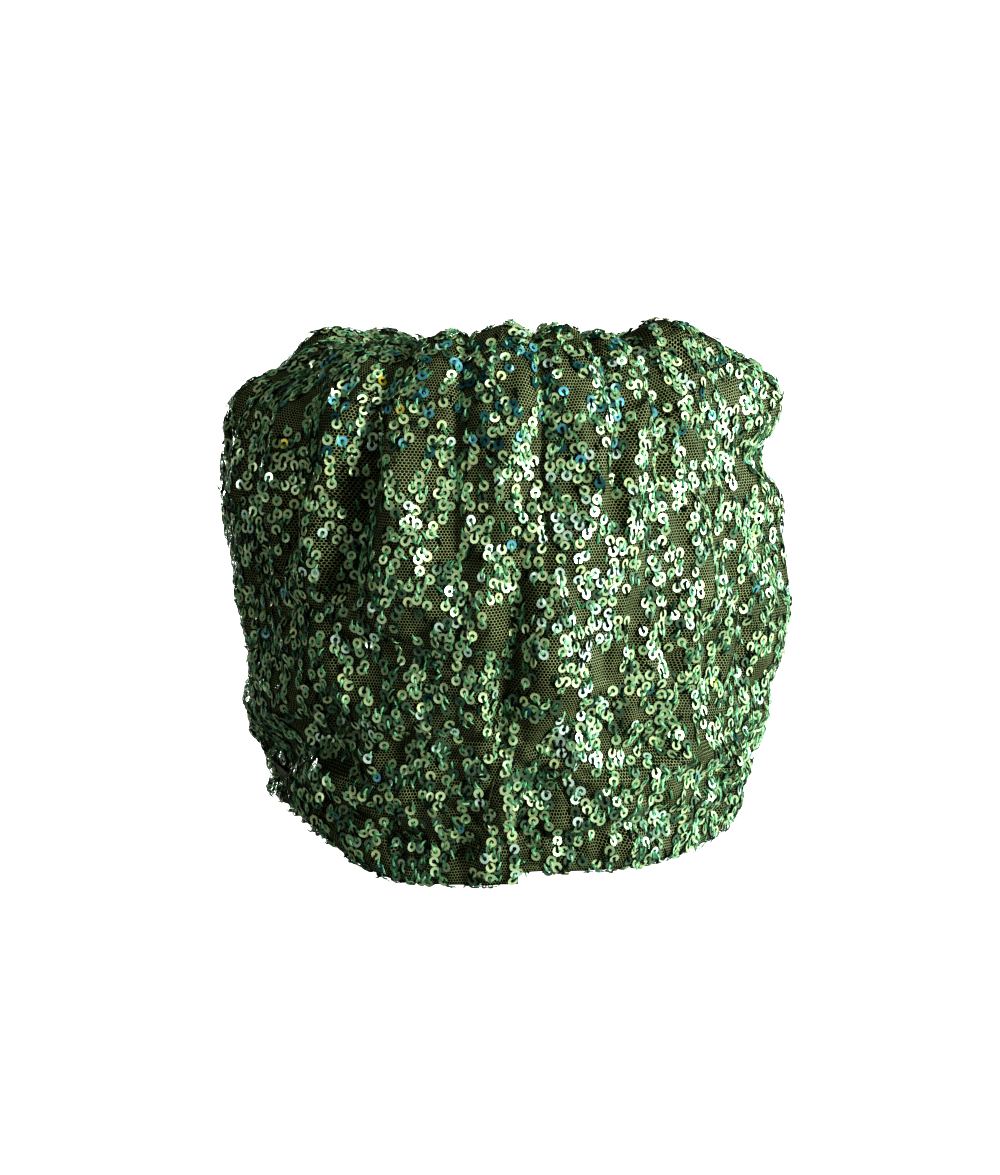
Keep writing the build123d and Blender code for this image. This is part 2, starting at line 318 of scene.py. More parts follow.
# ---------------------------------------------------------------- meshes
def put_mesh(name, verts, faces, materials, smooth_shade=True, uv=None, slots=None):
    """A mesh object from arrays: verts (n, 3) in millimetres, faces (m, 3 or 4), uv per vertex in metres."""
    verts, faces = np.asarray(verts, np.float64).reshape(-1, 3), np.asarray(faces, np.int32)
    mesh = bpy.data.meshes.new(name)
    corners = faces.shape[1]
    mesh.vertices.add(len(verts))
    mesh.vertices.foreach_set("co", (verts * MM).astype(np.float32).ravel())
    mesh.loops.add(faces.size)
    mesh.loops.foreach_set("vertex_index", faces.ravel())
    mesh.polygons.add(len(faces))
    mesh.polygons.foreach_set("loop_start", np.arange(0, faces.size, corners, dtype=np.int32))
    mesh.update(calc_edges=True)
    mesh.polygons.foreach_set("use_smooth", np.full(len(faces), smooth_shade))
    if slots is not None:
        mesh.polygons.foreach_set("material_index", np.asarray(slots, np.int32))
    if uv is not None:
        layer = mesh.uv_layers.new(name="weave")
        layer.data.foreach_set("uv", np.asarray(uv, np.float32)[faces.ravel()].ravel())
    for m in materials:
        mesh.materials.append(m)
    obj = bpy.data.objects.new(name, mesh)
    bpy.context.scene.collection.objects.link(obj)
    return obj


def grid_faces(rows, cols, wrap=False):
    i, j = np.meshgrid(np.arange(rows - 1), np.arange(cols if wrap else cols - 1), indexing="ij")
    k = (j + 1) % cols
    return np.stack([i * cols + j, i * cols + k, (i + 1) * cols + k, (i + 1) * cols + j], -1).reshape(-1, 4)


def grid_normals(points):
    """Unit normals of a (rows, cols, 3) grid."""
    du = np.gradient(points, axis=1)
    dv = np.gradient(points, axis=0)
    n = np.cross(du, dv)
    return n / np.maximum(np.linalg.norm(n, axis=-1, keepdims=True), 1e-9)


# ---------------------------------------------------------------- materials
def new_material(name):
    """A node material, with its nodes, its links and its shader."""
    m = bpy.data.materials.new(name)
    m.use_nodes = True
    nodes, links = m.node_tree.nodes, m.node_tree.links
    return m, nodes, links, nodes["Principled BSDF"]


def math_node(nodes, links, kind, a, b=None, c=None):
    """A Math node whose inputs are numbers or sockets."""
    n = nodes.new("ShaderNodeMath")
    n.operation = kind
    for i, v in enumerate((a, b, c)):
        if v is None:
            continue
        if isinstance(v, (int, float)):
            n.inputs[i].default_value = v
        else:
            links.new(v, n.inputs[i])
    return n.outputs[0]


def vector_node(nodes, links, kind, a, b=None):
    """A Vector Math node of a socket and, where it takes one, a constant."""
    n = nodes.new("ShaderNodeVectorMath")
    n.operation = kind
    links.new(a, n.inputs[0])
    if b is not None:
        n.inputs[1].default_value = b
    return n.outputs["Value"] if kind == "LENGTH" else n.outputs["Vector"]


def ramp(nodes, links, value, stops):
    """A colour ramp with stops of (position, colour)."""
    n = nodes.new("ShaderNodeValToRGB")
    links.new(value, n.inputs["Fac"])
    e = n.color_ramp.elements
    while len(e) < len(stops):
        e.new(0.5)
    for el, (pos, col) in zip(e, stops):
        el.position, el.color = pos, (*col, 1.0)
    return n.outputs["Color"]


def mix_colour(nodes, links, factor, a, b):
    """A colour mix whose inputs are numbers, colours or sockets."""
    n = nodes.new("ShaderNodeMix")
    n.data_type = "RGBA"
    for socket, v in ((n.inputs["Factor"], factor), (n.inputs[6], a), (n.inputs[7], b)):
        if isinstance(v, (int, float)):
            socket.default_value = v
        elif isinstance(v, tuple):
            socket.default_value = (*v, 1.0)
        else:
            links.new(v, socket)
    return n.outputs[2]


def weave_coordinates(nodes, links, size):
    """The cloth's own coordinates, in units of size millimetres."""
    n = nodes.new("ShaderNodeUVMap")
    n.uv_map = "weave"
    s = nodes.new("ShaderNodeVectorMath")
    s.operation = "SCALE"
    links.new(n.outputs["UV"], s.inputs[0])
    s.inputs["Scale"].default_value = 1000.0 / size
    return s.outputs["Vector"]


def net_material():
    """Olive net with hexagonal holes: a thread stands wherever both sets of cell middles are far away."""
    m, nodes, links, bsdf = new_material("sequinned_net")
    pitch = 1.04  # from one hole to the next, in millimetres
    p = weave_coordinates(nodes, links, pitch)
    root3 = math.sqrt(3)
    cells = []
    for shift in (0.0, 0.5):
        q = vector_node(nodes, links, "MULTIPLY", p, (1, 1 / root3, 0))
        q = vector_node(nodes, links, "ADD", q, (shift, shift, 0))
        q = vector_node(nodes, links, "FRACTION", q)
        q = vector_node(nodes, links, "SUBTRACT", q, (0.5, 0.5, 0))
        q = vector_node(nodes, links, "MULTIPLY", q, (1, root3, 0))
        cells.append(vector_node(nodes, links, "LENGTH", q))
    d = math_node(nodes, links, "MINIMUM", cells[0], cells[1])
    step = nodes.new("ShaderNodeMapRange")
    step.interpolation_type = "SMOOTHSTEP"
    links.new(d, step.inputs["Value"])
    step.inputs["From Min"].default_value, step.inputs["From Max"].default_value = 0.37, 0.47
    thread = step.outputs["Result"]
    noise = nodes.new("ShaderNodeTexNoise")
    links.new(weave_coordinates(nodes, links, 14.0), noise.inputs["Vector"])
    noise.inputs["Scale"].default_value = 1.0
    noise.inputs["Detail"].default_value = 4.0
    fibre = nodes.new("ShaderNodeTexNoise")
    links.new(p, fibre.inputs["Vector"])
    fibre.inputs["Scale"].default_value = 1.7
    # The holes are painted near black: the dark backing seen through them, darkened further as painted shade in
    # the holes.
    dull, fresh, fluff, hole = (0.165, 0.200, 0.095), (0.37, 0.415, 0.225), (0.12, 0.15, 0.07), (
        0.0008, 0.0014, 0.0009)
    olive = ramp(nodes, links, noise.outputs["Fac"], [(0.3, dull), (0.7, fresh)])
    fluffy = math_node(nodes, links, "MULTIPLY", fibre.outputs["Fac"], 0.45)
    olive = mix_colour(nodes, links, fluffy, olive, fluff)
    colour = mix_colour(nodes, links, thread, hole, olive)
    links.new(colour, bsdf.inputs["Base Color"])
    rough = math_node(nodes, links, "MULTIPLY_ADD", noise.outputs["Fac"], 0.2, 0.5)
    links.new(rough, bsdf.inputs["Roughness"])
    bump_node = nodes.new("ShaderNodeBump")
    bump_node.inputs["Strength"].default_value = 0.6
    bump_node.inputs["Distance"].default_value = 0.0003
    links.new(thread, bump_node.inputs["Height"])
    links.new(bump_node.outputs["Normal"], bsdf.inputs["Normal"])
    bsdf.inputs["Specular IOR Level"].default_value = 0.12
    return m


def cloth_material(name, light, dark, size, rough=0.75, rib=False, sheen=0.0):
    """Plain weave or rib in the cloth's own coordinates, with slow colour variation."""
    m, nodes, links, bsdf = new_material(name)
    p = weave_coordinates(nodes, links, size)
    wave = []
    for axis in "X" if rib else "XY":
        w = nodes.new("ShaderNodeTexWave")
        w.bands_direction = axis
        w.inputs["Scale"].default_value = 0.5
        w.inputs["Distortion"].default_value = 0.6
        links.new(p, w.inputs["Vector"])
        wave.append(w.outputs["Fac"])
    height = wave[0] if rib else math_node(nodes, links, "MAXIMUM", wave[0], wave[1])
    noise = nodes.new("ShaderNodeTexNoise")
    noise.inputs["Scale"].default_value = 0.06
    noise.inputs["Detail"].default_value = 5.0
    links.new(p, noise.inputs["Vector"])
    mottle = math_node(nodes, links, "MULTIPLY", noise.outputs["Fac"], 0.5)
    tone = math_node(nodes, links, "MULTIPLY_ADD", height, 0.6, mottle)
    links.new(ramp(nodes, links, tone, [(0.15, dark), (0.9, light)]), bsdf.inputs["Base Color"])
    uneven = math_node(nodes, links, "MULTIPLY_ADD", noise.outputs["Fac"], 0.15, rough - 0.07)
    links.new(uneven, bsdf.inputs["Roughness"])
    bump_node = nodes.new("ShaderNodeBump")
    bump_node.inputs["Strength"].default_value = 0.5
    bump_node.inputs["Distance"].default_value = 0.0002
    links.new(height, bump_node.inputs["Height"])
    links.new(bump_node.outputs["Normal"], bsdf.inputs["Normal"])
    bsdf.inputs["Sheen Weight"].default_value = sheen
    return m


def plain_material(name, colour, rough, metallic=0.0, coat=0.0, specular=0.5):
    """A shader with the same values all over, for the thousands of tiny sequins and strands of one colour."""
    m, _, _, bsdf = new_material(name)
    bsdf.inputs["Base Color"].default_value = (*colour, 1.0)
    bsdf.inputs["Roughness"].default_value = rough
    bsdf.inputs["Metallic"].default_value = metallic
    bsdf.inputs["Coat Weight"].default_value = coat
    bsdf.inputs["Specular IOR Level"].default_value = specular
    return m


NET = net_material()
BACKING = cloth_material("backing_weave", (0.020, 0.024, 0.018), (0.006, 0.007, 0.005), 0.5)
WADDING = cloth_material("wadding_fibre", (0.80, 0.79, 0.75), (0.55, 0.54, 0.50), 2.4, 0.95)
LINING = cloth_material("lining_satin", (0.035, 0.050, 0.036), (0.012, 0.018, 0.012), 0.45, 0.42, sheen=0.2)
BAND = cloth_material("sweatband_rib", (0.045, 0.050, 0.042), (0.010, 0.012, 0.010), 0.9, 0.8, rib=True)
LABEL = cloth_material("label_satin", (0.86, 0.86, 0.83), (0.66, 0.66, 0.62), 0.35, 0.5)
# Each sequin's colour, roughness, metallic and coat
PALE, MID, DEEP, STRAW, TURQUOISE, TEAL, YELLOW, MINT = range(8)
SEQUINS = [
    plain_material("sequin_pale", (0.45, 0.57, 0.345), 0.34, 0.34, 0.32),
    plain_material("sequin_mid", (0.31, 0.42, 0.245), 0.36, 0.34, 0.32),
    # dark sequins: some at random, and more set in the valleys below as painted shade
    plain_material("sequin_deep", (0.10, 0.165, 0.105), 0.36, 0.34, 0.3),
    plain_material("sequin_straw", (0.50, 0.59, 0.335), 0.38, 0.34, 0.3),
    plain_material("sequin_turquoise", (0.15, 0.40, 0.46), 0.32, 0.36, 0.4),
    plain_material("sequin_teal", (0.03, 0.13, 0.14), 0.32, 0.36, 0.4),
    plain_material("sequin_yellow", (0.42, 0.37, 0.05), 0.36, 0.34, 0.3),
    # nearly white mint sequins: some at random, and more set below as a painted highlight where the key light
    # glints
    plain_material("sequin_mint", (0.66, 0.84, 0.72), 0.22, 0.50, 0.7),
]
# Four tones of one green thread: the mint one is its lit tone, a painted highlight, the green one its middle
# tone, and the deep and shadow ones are painted shade.
LIT_MINT_THREAD, GREEN_THREAD, DEEP_SHADE_THREAD, SHADOW_THREAD = range(4)
THREADS = [
    plain_material("thread_lit_mint", (0.26, 0.57, 0.335), 0.36, specular=0.8),
    plain_material("thread_green", (0.085, 0.29, 0.142), 0.42, specular=0.6),
    plain_material("thread_deep_shade", (0.012, 0.068, 0.036), 0.5, specular=0.3),
    plain_material("thread_shadow", (0.003, 0.014, 0.010), 0.6, specular=0.2),
]

# ---------------------------------------------------------------- wrinkles settled by cloth
SIM_ROWS, SIM_COLS = 92, 216
SIM_LOW, SIM_HIGH = 6.0, FULL_LEN - 8.0
SIM_FRAMES = 22
BODY_GAP = 4.5  # how far inside the cloth the padded body lies
CLOTH_THICKNESS = 0.0008  # metres
EXTRA_CLOTH = 0.07  # how much too large the cloth is cut
WRINKLE_CAP = 4.0


def settled_wrinkles():
    """How cloth cut too large buckles between the hem and the crown, as offsets from the designed shape."""
    s_line = np.linspace(SIM_LOW, SIM_HIGH, SIM_ROWS)
    t_line = -math.pi + 2 * math.pi * np.arange(SIM_COLS) / SIM_COLS
    S, T = np.meshgrid(s_line, t_line, indexing="ij")
    start, normal = base(T, S)
    shape = designed(T, S, -1)
    shape = np.where(np.abs(T) < 0.25, np.minimum(shape, designed(T, S, 1)), shape)
    start = start + normal * shape[..., None]
    scene = bpy.context.scene
    faces = grid_faces(SIM_ROWS, SIM_COLS, wrap=True)
    cloth = put_mesh("settling_cloth", start, faces, [])
    inner = put_mesh("settling_body", start - normal * BODY_GAP, faces, [])
    inner.modifiers.new("collision", "COLLISION")
    inner.collision.thickness_outer = CLOTH_THICKNESS
    edge = np.minimum(S - SIM_LOW, SIM_HIGH - S).ravel()
    pins = cloth.vertex_groups.new(name="pins")
    weight = 1 - smooth(edge, 0, 9)
    for k in np.nonzero(weight > 0.01)[0]:
        pins.add([int(k)], float(weight[k]), "REPLACE")
    mod = cloth.modifiers.new("cloth", "CLOTH")
    c = mod.settings
    c.quality, c.mass, c.air_damping = 6, 0.12, 4.0
    c.tension_stiffness, c.compression_stiffness, c.shear_stiffness, c.bending_stiffness = 25, 25, 8, 0.25
    c.shrink_min = c.shrink_max = -EXTRA_CLOTH
    c.vertex_group_mass = "pins"
    c.pin_stiffness = 4.0
    c.effector_weights.gravity = 0.35
    mod.collision_settings.distance_min = CLOTH_THICKNESS
    mod.collision_settings.use_self_collision = False
    mod.point_cache.frame_start, mod.point_cache.frame_end = 1, SIM_FRAMES
    for k in range(1, SIM_FRAMES + 1):
        scene.frame_set(k)
    evaluated = cloth.evaluated_get(bpy.context.evaluated_depsgraph_get())
    done = evaluated.to_mesh()
    out = np.empty(len(done.vertices) * 3)
    done.vertices.foreach_get("co", out)
    evaluated.to_mesh_clear()
    moved = out.reshape(SIM_ROWS, SIM_COLS, 3) / MM - start
    scene.frame_set(1)
    for o in (cloth, inner):
        mesh = o.data
        bpy.data.objects.remove(o, do_unlink=True)
        bpy.data.meshes.remove(mesh)
    along = (moved * normal).sum(-1)
    along -= along.mean(1, keepdims=True)
    return s_line, np.append(t_line, math.pi), np.concatenate([along, along[:, :1]], 1)


wrinkles = settled_wrinkles()


def between(field, i, j, a, b, wrap=None):
    """A grid's value at the shares a and b of the way from row i and column j to the next ones."""
    k = j + 1 if wrap is None else (j + 1) % wrap
    return (field[i, j] * (1 - a) * (1 - b) + field[i + 1, j] * a * (1 - b) + field[i, k] * (1 - a) * b
            + field[i + 1, k] * a * b)


def settled(theta, s):
    """The cloth's offset at any point, read smoothly from the simulated grid."""
    if wrinkles is None:
        return np.zeros(np.broadcast(theta, s).shape)
    s_line, t_line, field = wrinkles
    r = np.clip(np.interp(s, s_line, np.arange(len(s_line))), 0, len(s_line) - 1.001)
    c = np.clip(np.interp(theta, t_line, np.arange(len(t_line))), 0, len(t_line) - 1.001)
    i, j = r.astype(int), c.astype(int)
    value = between(field, i, j, smooth(r - i, 0, 1), smooth(c - j, 0, 1))
    value = np.where((s < SIM_LOW) | (s > SIM_HIGH), 0, value)
    value = WRINKLE_CAP * np.tanh(value / WRINKLE_CAP)
    return value * calm_back(theta, s)


# ---------------------------------------------------------------- outer panels
ROWS, COLS = 262, 340
LOW_S = ROLL_R - math.pi * ROLL_R - RETURN_LEN
HIGH_S = FULL_LEN - EYE
LIP_COLS = 16
LIP_COLUMN = 0.9  # width of one column of the lap's edge, along the cloth
ABOVE_FLOOR = 0.15
s_line = np.linspace(LOW_S, HIGH_S, ROWS)
panels = {}  # by side: -1 is the wearer's right, whose edge laps over, and 1 the wearer's left


def lip_offsets():
    """Offsets across and outwards of the lap's turned-over edge from the middle line, column by column."""
    reach, radius, back = 4.4, 1.1, 4.0
    q = np.linspace(0, 1, LIP_COLS + 1)[1:] * (reach + math.pi * radius + back)
    turn = np.clip((q - reach) / radius, 0, math.pi)
    over = np.clip(q - reach - math.pi * radius, 0, None)
    across = np.minimum(q, reach) + radius * np.sin(turn) - over
    out = -radius * (1 - np.cos(turn))
    return across, out


for side, (start, stop) in {-1: (-math.pi, 0.0), 1: (0.0, math.pi)}.items():
    t_line = ellipse_angles(COLS, start, stop)
    S, T = np.meshgrid(s_line, t_line, indexing="ij")
    P, N = base(T, S)
    P = P + N * (designed(T, S, side) + settled(T, S))[..., None]
    P[..., 2] = np.maximum(P[..., 2], ABOVE_FLOOR)
    panels[side] = {"theta": t_line, "P": P, "N": grid_normals(P), "U": round_length(t_line)}


def panel_mesh(side):
    """Points, faces and weave coordinates of one panel, with its edge at the lap carried on over or under."""
    g = panels[side]
    edge = g["P"][:, -1] if side < 0 else g["P"][:, 0]
    strength = lap_strength(s_line) * smooth(s_line, -6, -1)
    across, out = lip_offsets()
    extra = np.zeros((ROWS, LIP_COLS, 3))
    for k in range(LIP_COLS):
        if side < 0:
            x = across[k] * strength
            n = out[k] * strength
        else:
            t = (k + 1) / LIP_COLS
            x, n = -8.0 * t * strength, 5.6 * t * t * strength
        extra[:, k] = edge + np.stack([x, -n, 0 * x], -1)
    cols = COLS + LIP_COLS
    u_extra = (np.arange(LIP_COLS) + 1) * LIP_COLUMN
    if side < 0:
        P = np.concatenate([g["P"], extra], 1)
        U = np.concatenate([g["U"], g["U"][-1] + u_extra])
        column_is_lip = np.arange(cols) >= COLS
    else:
        P = np.concatenate([extra[:, ::-1], g["P"]], 1)
        U = np.concatenate([(g["U"][0] - u_extra)[::-1], g["U"]])
        column_is_lip = np.arange(cols) < LIP_COLS
    faces = grid_faces(ROWS, cols)
    lip = column_is_lip[faces % cols].any(1)
    weak = (strength[faces // cols] < 0.02).any(1)
    faces = faces[~(lip & weak)]
    UU, VV = np.meshgrid(U, s_line)
    used = np.unique(faces)
    renumber = np.full(ROWS * cols, -1)
    renumber[used] = np.arange(len(used))
    uv = np.stack([UU, VV], -1).reshape(-1, 2)[used] * MM
    return P.reshape(-1, 3)[used], renumber[faces], uv


outer = {}
for side, name in ((-1, "right_net_panel"), (1, "left_net_panel")):
    verts, faces, uv = panel_mesh(side)
    outer[side] = put_mesh(name, verts, faces, [NET], uv=uv)

# ---------------------------------------------------------------- layers inside the panels
RING = 420
ring_theta = ellipse_angles(RING + 1, -math.pi, math.pi)[:-1]


def eroded(field, across, up):
    """Lowest value nearby, so that an inner layer never crosses the folds outside it."""
    low = field.copy()
    for k in range(-across, across + 1):
        low = np.minimum(low, np.roll(field, k, 1))
    out = low.copy()
    for k in range(1, up + 1):
        out[k:] = np.minimum(out[k:], low[:-k])
        out[:-k] = np.minimum(out[:-k], low[k:])
    return out


def blurred(field, times):
    """The field averaged with its neighbours, round the cap and up it."""
    for _ in range(times):
        field = (np.roll(field, 1, 1) + 2 * field + np.roll(field, -1, 1)) / 4
        field[1:-1] = (field[:-2] + 2 * field[1:-1] + field[2:]) / 4
    return field


INNER_LOW, INNER_STEP = -2.0, 1.6
inner_s = np.arange(INNER_LOW, FULL_LEN - EYE + 0.1, INNER_STEP)
LINING_SEAM, WADDING_SEAM = inner_s[89], inner_s[92]  # each pair of pieces meets along one row
IS, IT = np.meshgrid(inner_s, ring_theta, indexing="ij")
folds = np.where(IT < 0, designed(IT, IS, -1), designed(IT, IS, 1)) + settled(IT, IS)
folds = blurred(eroded(np.minimum(folds, 0.4 * folds + 0.5), 3, 2), 2)


def layer(name, inset, thickness, low, high, material, ripple=0.0, step=1):
    """A closed shell of cloth that follows the folds from inside, between two arc lengths."""
    rows = np.nonzero((inner_s >= low) & (inner_s <= high))[0][::step]
    sheets = []
    for k, depth in enumerate((inset, inset + thickness)):
        d = np.minimum(folds[rows], 0) + np.maximum(folds[rows], 0) * 0.5 - depth
        if ripple:
            d = d - ripple * (1 + np.cos(IT[rows] * 60 + 0.05 * IS[rows]))
        point, normal = base(IT[rows], IS[rows])
        sheets.append(point + normal * d[..., None])
    outside, inside = sheets
    loop = np.concatenate([outside, inside[::-1]], 0)
    total = len(loop)
    faces = grid_faces(total, RING, wrap=True)
    here, following = np.arange(RING), (np.arange(RING) + 1) % RING
    last = (total - 1) * RING
    close = np.stack([here + last, following + last, following, here], -1)
    faces = np.concatenate([faces, close])
    U = np.broadcast_to(round_length(ring_theta), (total, RING))
    V = np.concatenate([inner_s[rows], inner_s[rows][::-1]])[:, None] * np.ones(RING)
    return put_mesh(name, loop, faces, [material], uv=np.stack([U, V], -1).reshape(-1, 2) * MM)


backing = layer("backing_cloth", 1.5, 0.5, 1.0, FULL_LEN, BACKING, step=2)
wad_side = layer("wadding_wall", 2.4, 1.8, 27.0, WADDING_SEAM, WADDING)
wad_crown = layer("wadding_top", 2.4, 1.8, WADDING_SEAM, FULL_LEN, WADDING)
lining_wall = layer("lining_wall", 4.8, 0.5, 13.0, LINING_SEAM, LINING)
lining_top = layer("lining_top", 4.8, 0.5, LINING_SEAM, FULL_LEN, LINING)
elastic = layer("elastic_band", 2.3, 0.7, 3.0, 23.0, BAND, ripple=0.15)
sweatband = layer("forehead_band", 5.6, 0.8, 1.5, 26.0, BAND)

# ---------------------------------------------------------------- sequins and their threads
RING_R, HOLE_R, RING_T = 1.67, 0.68, 0.13
CHAIN_PITCH = 7.6  # between two chains of sequins
BESIDE = 0.05  # a place just inside a panel's edge


def unit(v):
    return v / np.maximum(np.linalg.norm(v, axis=-1, keepdims=True), 1e-9)


def sample(side, u, s):
    """Point, normal and upward direction on a panel, from length round the cap and arc length up it."""
    g = panels[side]
    c = np.clip(np.interp(u, g["U"], np.arange(COLS)), 0, COLS - 1.001)
    r = np.clip((s - LOW_S) / (HIGH_S - LOW_S) * (ROWS - 1), 0, ROWS - 1.001)
    i, j = r.astype(int), c.astype(int)
    a, b = (r - i)[:, None], (c - j)[:, None]

    up = between(np.gradient(g["P"], axis=0), i, j, a, b)
    n = between(g["N"], i, j, a, b)
    n /= np.linalg.norm(n, axis=1, keepdims=True)
    up -= n * (up * n).sum(1, keepdims=True)
    up /= np.linalg.norm(up, axis=1, keepdims=True)
    return between(g["P"], i, j, a, b), n, up


def on_panels(u, s):
    """What sample gives at every place, the places on the wearer's right first, and the order they are in."""
    order = np.argsort(u >= 0, kind="stable")
    u, s = u[order], s[order]
    cut = np.count_nonzero(u < 0)
    halves = sample(-1, u[:cut], s[:cut]), sample(1, u[cut:], s[cut:])
    return [np.concatenate(pair) for pair in zip(*halves)] + [order]


def chain_points():
    """Where sequins sit: wavy chains that run up the cloth, in clusters two or three wide, with bare gaps."""
    half = panels[1]["U"][-1]
    count = int(2 * half / CHAIN_PITCH)
    clumps = waves(60, (8, 60), (14, 60), 21)
    wander = waves(40, (6, 40), (26, 70), 22)
    rows = []
    for k in range(count):
        u0 = -half + (k + 0.5) * 2 * half / count
        s = LOW_S + 6 + rng.uniform(0, 3)
        phase, length = rng.uniform(0, 6.28), rng.uniform(26, 44)
        while s < HIGH_S - 2:
            theta = u0 / half * math.pi
            centre = u0 + 2.0 * math.sin(6.283 * s / length + phase) + 1.6 * float(wander(theta, s))
            rich = float(clumps(theta, s)) + 0.35 * math.sin(6.283 * s / length * 2 + phase)
            wide = 1 + (rich > -0.55) + (rich > 0.30)
            if rich > -1.0:
                for c in range(wide):
                    off = (c - (wide - 1) / 2) * 2.6 + rng.normal(0, 0.65)
                    rows.append((centre + off, s + rng.normal(0, 0.8), rich))
            s += rng.uniform(2.6, 4.1)
    return np.array(rows)


half_round = panels[1]["U"][-1]


def wrapped(u):
    """Lengths round the cap, brought back between the two sides of the middle of the back."""
    return (u + half_round) % (2 * half_round) - half_round


def toward_left(lengths):
    """Vectors of these lengths along +X, towards the wearer's left."""
    return np.stack([lengths, 0 * lengths, 0 * lengths], -1)


spots = chain_points()
spots[:, 0] = wrapped(spots[:, 0])
p, n, up, order = on_panels(spots[:, 0], spots[:, 1])

# a few more, ahead of the rest, along the free edge of the lap
lip_s = np.arange(2.0, 44.0, 2.6)
lip_p, lip_n, lip_up = sample(-1, np.full(len(lip_s), -BESIDE), lip_s)
lip_n = unit(lip_n + np.array([0.5, 0, 0]))
lip_p = lip_p + toward_left(3.9 * lap_strength(lip_s) + rng.normal(0, 0.5, len(lip_s)))
rings = {
    "p": np.concatenate([lip_p, p]),
    "n": np.concatenate([lip_n, n]),
    "up": np.concatenate([lip_up, up]),
    "s": np.concatenate([lip_s, spots[order, 1]]),
    "u": np.concatenate([0 * lip_s, spots[order, 0]]),
}

# no two sequins sit closer than this, which thins them where the crown is gathered
CLOSEST = 2.15
cell = {}
keep = []
for k, point in enumerate(rings["p"]):
    key = tuple((point // CLOSEST).astype(int))
    near = (cell.get((key[0] + a, key[1] + b, key[2] + c), ()) for a in (-1, 0, 1) for b in (-1, 0, 1)
            for c in (-1, 0, 1))
    if all(np.sum((rings["p"][q] - point) ** 2) > CLOSEST**2 for group in near for q in group):
        cell.setdefault(key, []).append(k)
        keep.append(k)
rings = {k: v[keep] for k, v in rings.items()}
N_RINGS = len(keep)

side_dir = unit(np.cross(rings["up"], rings["n"]))
tilt = rng.normal(0, 0.125, (N_RINGS, 2)) * (1 + (rng.random((N_RINGS, 1)) < 0.15))
ring_z = unit(rings["n"] + side_dir * tilt[:, :1] + rings["up"] * tilt[:, 1:])
spin = rng.normal(0, 0.45, N_RINGS) + math.pi * (rng.random(N_RINGS) < 0.5)
stitch_dir = rings["up"] * np.cos(spin)[:, None] + side_dir * np.sin(spin)[:, None]
ring_x = unit(stitch_dir - ring_z * (stitch_dir * ring_z).sum(1, keepdims=True))
ring_y = np.cross(ring_z, ring_x)
lift = rng.uniform(0.25, 0.60, N_RINGS) + 0.45 * np.abs(tilt).sum(1)
ring_c = rings["p"] + rings["n"] * lift[:, None]

# one washer: four points round its section, slightly dished
SEG = 14
IN_H, OUT_H = 0.09, 0.15
angles = np.linspace(0, 2 * math.pi, SEG, endpoint=False)
section = [(HOLE_R, IN_H), (RING_R, OUT_H), (RING_R, OUT_H - RING_T), (HOLE_R, IN_H - RING_T)]
washer = np.array([(r * math.cos(a), r * math.sin(a), h) for a in angles for r, h in section])
corners = [(a * 4, (a + 1) % SEG * 4, k, (k + 1) % 4) for a in range(SEG) for k in range(4)]
washer_faces = np.array([(a + k, a + m, b + m, b + k) for a, b, k, m in corners])

palette = rng.random(N_RINGS)
variant = np.select([palette < 0.37, palette < 0.65, palette < 0.81, palette < 0.94, palette < 0.944],
                    [PALE, MID, DEEP, STRAW, YELLOW], MINT)

# more of the pale, shiny mint sequins on the swelling beside the middle, a painted highlight where the key
# light glints, and more of the dark ones in the valleys and above the hem, a painted shade
u, s = rings["u"], rings["s"]
painted_glint = bump(u, 26, 13) * smooth(s, 20, 45) * (1 - smooth(s, 120, 170))
valleys = bump(u, -38, 26) * (1 - smooth(s, 70, 130))
painted_shade = np.maximum(valleys, 0.6 * bump(u, 40, 45) * (1 - smooth(s, 24, 52)))
swap = rng.random(N_RINGS)
variant = np.where(swap < 0.42 * painted_glint, MINT, np.where(swap > 1 - 0.4 * painted_shade, DEEP, variant))
# turquoise and teal sequins: a few anywhere, and many more on the top of the front, a painted reflection of
# something blue above
blue_reflection = bump(u, 5, 80) * bump(s, 168, 24) * 0.27 + 0.008
draw = rng.random(N_RINGS)
variant = np.where(draw < blue_reflection, np.where(rng.random(N_RINGS) < 0.45, TURQUOISE, TEAL), variant)

frame_axes = np.stack([ring_x, ring_y, ring_z], 1)
ring_size = rng.normal(1.0, 0.03, N_RINGS)


FLOOR_GAP = 0.05  # nothing hangs below the table


def scatter(name, template, centres, axes, sizes, material_of, materials, group, smooth_shade=True):
    """Copies of a small template at each centre, joined into one mesh per group."""
    points, faces = template
    made = []
    for g in np.unique(group):
        pick = np.nonzero(group == g)[0]
        turned = np.einsum("vk,nkc->nvc", points, axes[pick])
        verts = centres[pick][:, None] + turned * sizes[pick][:, None, None]
        verts[..., 2] = np.maximum(verts[..., 2], FLOOR_GAP)
        offset = (np.arange(len(pick)) * len(points))[:, None, None]
        quads = (faces[None] + offset).reshape(-1, faces.shape[1])
        slots = np.repeat(material_of[pick], len(faces))
        title = f"{name}_{g + 1:02d}"
        made.append(put_mesh(title, verts, quads, materials, smooth_shade, slots=slots))
    return made


SECTORS = 10


def sector_of(points):
    """Which tenth of the way round the cap each point is in."""
    turn = (np.arctan2(points[:, 0], -points[:, 1] / RATIO) + math.pi) / (2 * math.pi)
    return np.clip(np.floor(turn * SECTORS), 0, SECTORS - 1).astype(int)


sector = sector_of(rings["p"])
sequin_objects = scatter("sequins", (washer, washer_faces), ring_c, frame_axes, ring_size, variant, SEQUINS,
                         sector, smooth_shade=False)


